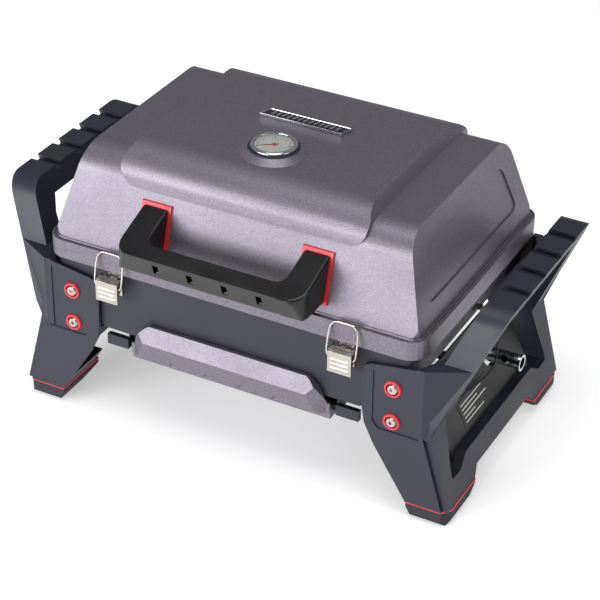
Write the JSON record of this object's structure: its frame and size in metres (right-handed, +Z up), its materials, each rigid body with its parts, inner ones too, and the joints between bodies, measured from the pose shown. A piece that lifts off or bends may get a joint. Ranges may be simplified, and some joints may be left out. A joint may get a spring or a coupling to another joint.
{
  "type": "portable tabletop grill",
  "caption": "Portable gas grill: hinged domed lid with handle and thermometer, latches, firebox on two carrying-handle leg frames, grate, slide-out grease tray.",
  "frame": {"origin": "on the floor under the middle of the whole grill's box", "axes": "+X to the cook's right, +Y away from the cook, +Z up"},
  "size_m": [0.686, 0.4188, 0.3921],
  "materials": {
    "lid_paint": "satin metallic grey with a fine speckle",
    "tray_paint": "satin metallic grey",
    "firebox_paint": "matt near-black heat paint on a casting",
    "frame_plastic": "fine-grained dark grey moulding",
    "handle_plastic": "satin black moulding",
    "badge": "satin black plate",
    "red_plastic": "bright red moulding",
    "steel": "plain rolled steel",
    "nickel": "bright nickel plate",
    "chrome": "bright chrome plate",
    "rubber": "matt moulded rubber",
    "enamel": "black porcelain enamel",
    "dial": "matt off-white",
    "clear_glass": "clear flat glass",
    "ceramic": "glazed brown ceramic",
    "cable": "silicone sleeve"
  },
  "bodies": {
    "stand_and_firebox": {"firebox": "firebox_paint", "cooking_grate": "enamel", "emitter_plate": "steel", "burner_tube": "steel", "gas_inlet_tube": "chrome", "igniter_electrode": "ceramic", "igniter_lead": "cable", "igniter_housing": "frame_plastic", "hinge_bracket_left": "steel", "hinge_pin_left": "steel", "side_shield_left": "enamel", "side_frame_left": "frame_plastic", "tray_rail_left": "firebox_paint", "latch_base_left": "nickel", "foot_pad_front_left": "rubber", "foot_band_front_left": "red_plastic", "foot_pad_rear_left": "rubber", "foot_band_rear_left": "red_plastic", "front_screw_upper_left": "nickel", "screw_ring_upper_left": "red_plastic", "rear_screw_upper_left": "steel", "front_screw_lower_left": "nickel", "screw_ring_lower_left": "red_plastic", "rear_screw_lower_left": "steel", "hinge_bracket_right": "steel", "hinge_pin_right": "steel", "side_shield_right": "enamel", "side_frame_right": "frame_plastic", "tray_rail_right": "firebox_paint", "latch_base_right": "nickel", "foot_pad_front_right": "rubber", "foot_band_front_right": "red_plastic", "foot_pad_rear_right": "rubber", "foot_band_rear_right": "red_plastic", "front_screw_upper_right": "nickel", "screw_ring_upper_right": "red_plastic", "rear_screw_upper_right": "steel", "front_screw_lower_right": "nickel", "screw_ring_lower_right": "red_plastic", "rear_screw_lower_right": "steel"},
    "lid": {"lid_shell": "lid_paint", "lid_handle": "handle_plastic", "handle_bezel_left": "red_plastic", "handle_bezel_right": "red_plastic", "handle_screw_left": "steel", "handle_screw_right": "steel", "thermometer_bezel": "chrome", "thermometer_dial": "dial", "thermometer_lens": "clear_glass", "thermometer_probe": "steel", "badge_plate": "badge", "hinge_leaf_left": "steel", "hinge_leaf_right": "steel"},
    "thermometer_needle": {"thermometer_needle": "red_plastic"},
    "grease_tray": {"grease_tray": "tray_paint"},
    "igniter_button": {"igniter_button": "red_plastic"},
    "latch_lever_left": {"latch_lever_left": "nickel"},
    "latch_bail_left": {"latch_bail_left": "nickel"},
    "latch_lever_right": {"latch_lever_right": "nickel"},
    "latch_bail_right": {"latch_bail_right": "nickel"}
  },
  "joints": [
    {"name": "lid_hinge", "type": "hinge", "parent": "stand_and_firebox", "child": "lid", "pos_m": [0, 0.20456, 0.222], "axis": [-1, 0, 0], "range_deg": [0, 95]},
    {"name": "tray_slide", "type": "slide", "parent": "stand_and_firebox", "child": "grease_tray", "axis": [0, -1, 0], "range_m": [0, 0.18]},
    {"name": "thermometer_needle_turn", "type": "hinge", "parent": "lid", "child": "thermometer_needle", "pos_m": [0, -0.04144, 0.389], "axis": [0, 0, -1], "range_deg": [0, 250]},
    {"name": "igniter_press", "type": "slide", "parent": "stand_and_firebox", "child": "igniter_button", "axis": [0, 0, 1], "range_m": [0, 0.006], "stiffness_N_per_m": 300},
    {"name": "latch_lever_right_turn", "type": "hinge", "parent": "stand_and_firebox", "child": "latch_lever_right", "pos_m": [0.16, -0.16244, 0.2175], "axis": [-1, 0, 0], "range_deg": [0, 85]},
    {"name": "latch_bail_right_turn", "type": "hinge", "parent": "latch_lever_right", "child": "latch_bail_right", "pos_m": [0.16, -0.17194, 0.211], "axis": [-1, 0, 0], "range_deg": [-111, 0]},
    {"name": "latch_lever_left_turn", "type": "hinge", "parent": "stand_and_firebox", "child": "latch_lever_left", "pos_m": [-0.16, -0.16244, 0.2175], "axis": [-1, 0, 0], "range_deg": [0, 85]},
    {"name": "latch_bail_left_turn", "type": "hinge", "parent": "latch_lever_left", "child": "latch_bail_left", "pos_m": [-0.16, -0.17194, 0.211], "axis": [-1, 0, 0], "range_deg": [-111, 0]}
  ],
  "couplings": [
    {"joint": "latch_bail_right_turn", "follows": "latch_lever_right_turn", "ratio": -1.3},
    {"joint": "latch_bail_left_turn", "follows": "latch_lever_left_turn", "ratio": -1.3}
  ]
}
